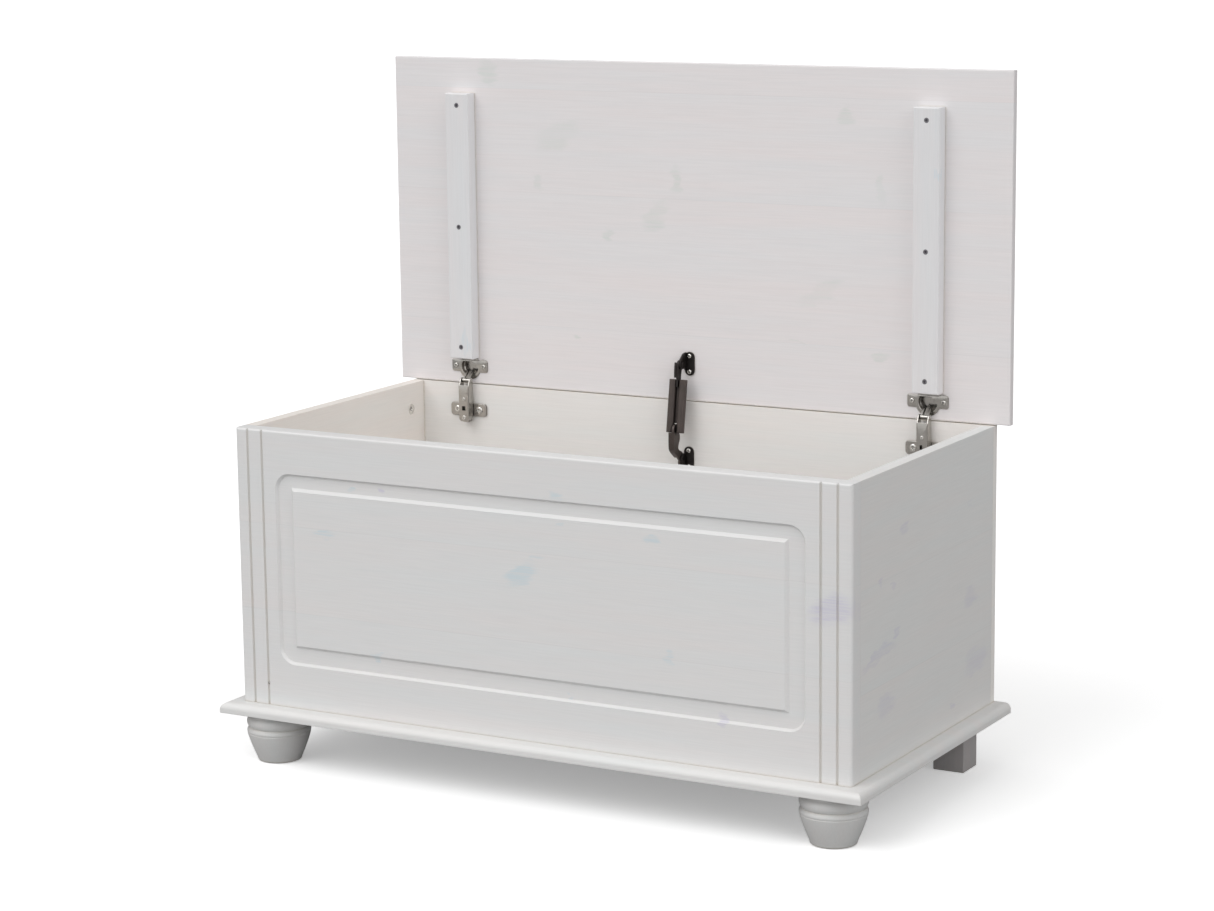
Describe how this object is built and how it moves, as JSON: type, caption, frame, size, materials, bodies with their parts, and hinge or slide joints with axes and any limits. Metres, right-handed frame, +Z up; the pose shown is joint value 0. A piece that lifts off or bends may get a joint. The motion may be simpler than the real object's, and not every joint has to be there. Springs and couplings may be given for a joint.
{
  "type": "storage bench",
  "caption": "Low panelled wooden chest on turned front feet and square rear feet, with a battened lid on cup hinges and a folding lid stay.",
  "frame": {"origin": "middle of the bench's footprint on the floor, with the lid open", "axes": "+X to the right seen from the front, +Y to the back, +Z up"},
  "size_m": [0.946, 0.484, 0.9195],
  "materials": {
    "glazed_pine": "white glazed solid pine, satin",
    "carcass_pine": "white glazed solid pine, satin",
    "hinge_nickel": "nickel-plated pressed steel",
    "stay_bronze": "dark bronze lacquered steel, satin",
    "bright_zinc": "bright zinc-plated steel"
  },
  "bodies": {
    "chest": {"base_board": "glazed_pine", "front_panel": "glazed_pine", "back_panel": "carcass_pine", "front_panel_pin": "bright_zinc", "front_left_foot": "glazed_pine", "front_left_foot_stud": "bright_zinc", "rear_left_foot": "glazed_pine", "rear_left_foot_stud": "bright_zinc", "left_side_panel": "carcass_pine", "left_front_upper_cam": "bright_zinc", "left_front_lower_cam": "bright_zinc", "left_rear_upper_cam": "bright_zinc", "left_rear_lower_cam": "bright_zinc", "left_hinge_plate": "hinge_nickel", "left_hinge_arm": "hinge_nickel", "left_hinge_pin": "hinge_nickel", "left_plate_screw_1": "bright_zinc", "left_plate_screw_2": "bright_zinc", "front_right_foot": "glazed_pine", "front_right_foot_stud": "bright_zinc", "rear_right_foot": "glazed_pine", "rear_right_foot_stud": "bright_zinc", "right_side_panel": "carcass_pine", "right_front_upper_cam": "bright_zinc", "right_front_lower_cam": "bright_zinc", "right_rear_upper_cam": "bright_zinc", "right_rear_lower_cam": "bright_zinc", "right_hinge_plate": "hinge_nickel", "right_hinge_arm": "hinge_nickel", "right_hinge_pin": "hinge_nickel", "right_plate_screw_1": "bright_zinc", "right_plate_screw_2": "bright_zinc", "stay_lower_bracket": "stay_bronze", "stay_lower_rivet": "stay_bronze", "stay_lower_screw_1": "bright_zinc", "stay_lower_screw_2": "bright_zinc"},
    "lid": {"lid_panel": "glazed_pine", "left_batten": "glazed_pine", "left_batten_screw_1": "bright_zinc", "left_batten_screw_2": "bright_zinc", "left_batten_screw_3": "bright_zinc", "left_hinge_cup": "hinge_nickel", "left_cup_screw_1": "bright_zinc", "left_cup_screw_2": "bright_zinc", "right_batten": "glazed_pine", "right_batten_screw_1": "bright_zinc", "right_batten_screw_2": "bright_zinc", "right_batten_screw_3": "bright_zinc", "right_hinge_cup": "hinge_nickel", "right_cup_screw_1": "bright_zinc", "right_cup_screw_2": "bright_zinc", "stay_upper_bracket": "stay_bronze", "stay_upper_rivet": "stay_bronze", "stay_upper_screw_1": "bright_zinc", "stay_upper_screw_2": "bright_zinc"},
    "left_hinge_link": {"left_hinge_link": "hinge_nickel"},
    "right_hinge_link": {"right_hinge_link": "hinge_nickel"},
    "stay_spring_unit": {"stay_housing": "stay_bronze", "stay_upper_arm": "stay_bronze"},
    "stay_arm": {"stay_lower_arm": "stay_bronze"}
  },
  "joints": [
    {"name": "lid_hinge", "type": "hinge", "parent": "chest", "child": "lid", "pos_m": [0, 0.22675, 0.46075], "axis": [1, 0, 0], "range_deg": [0, 90]},
    {"name": "left_link_pivot", "type": "hinge", "parent": "chest", "child": "left_hinge_link", "pos_m": [-0.355, 0.213, 0.4625], "axis": [1, 0, 0], "range_deg": [0, 135.5]},
    {"name": "right_link_pivot", "type": "hinge", "parent": "chest", "child": "right_hinge_link", "pos_m": [0.355, 0.213, 0.4625], "axis": [1, 0, 0], "range_deg": [0, 135.5]},
    {"name": "stay_upper_pivot", "type": "hinge", "parent": "lid", "child": "stay_spring_unit", "pos_m": [-0.00955, 0.211, 0.5085], "axis": [1, 0, 0], "range_deg": [-90.5, 0]},
    {"name": "stay_lower_pivot", "type": "hinge", "parent": "chest", "child": "stay_arm", "pos_m": [-0.00955, 0.213, 0.372], "axis": [1, 0, 0], "range_deg": [0, 90.5]}
  ],
  "couplings": [
    {"joint": "left_link_pivot", "follows": "lid_hinge", "ratio": 1.5},
    {"joint": "right_link_pivot", "follows": "lid_hinge", "ratio": 1.5},
    {"joint": "stay_upper_pivot", "follows": "lid_hinge", "ratio": -1},
    {"joint": "stay_lower_pivot", "follows": "lid_hinge", "ratio": 1}
  ]
}
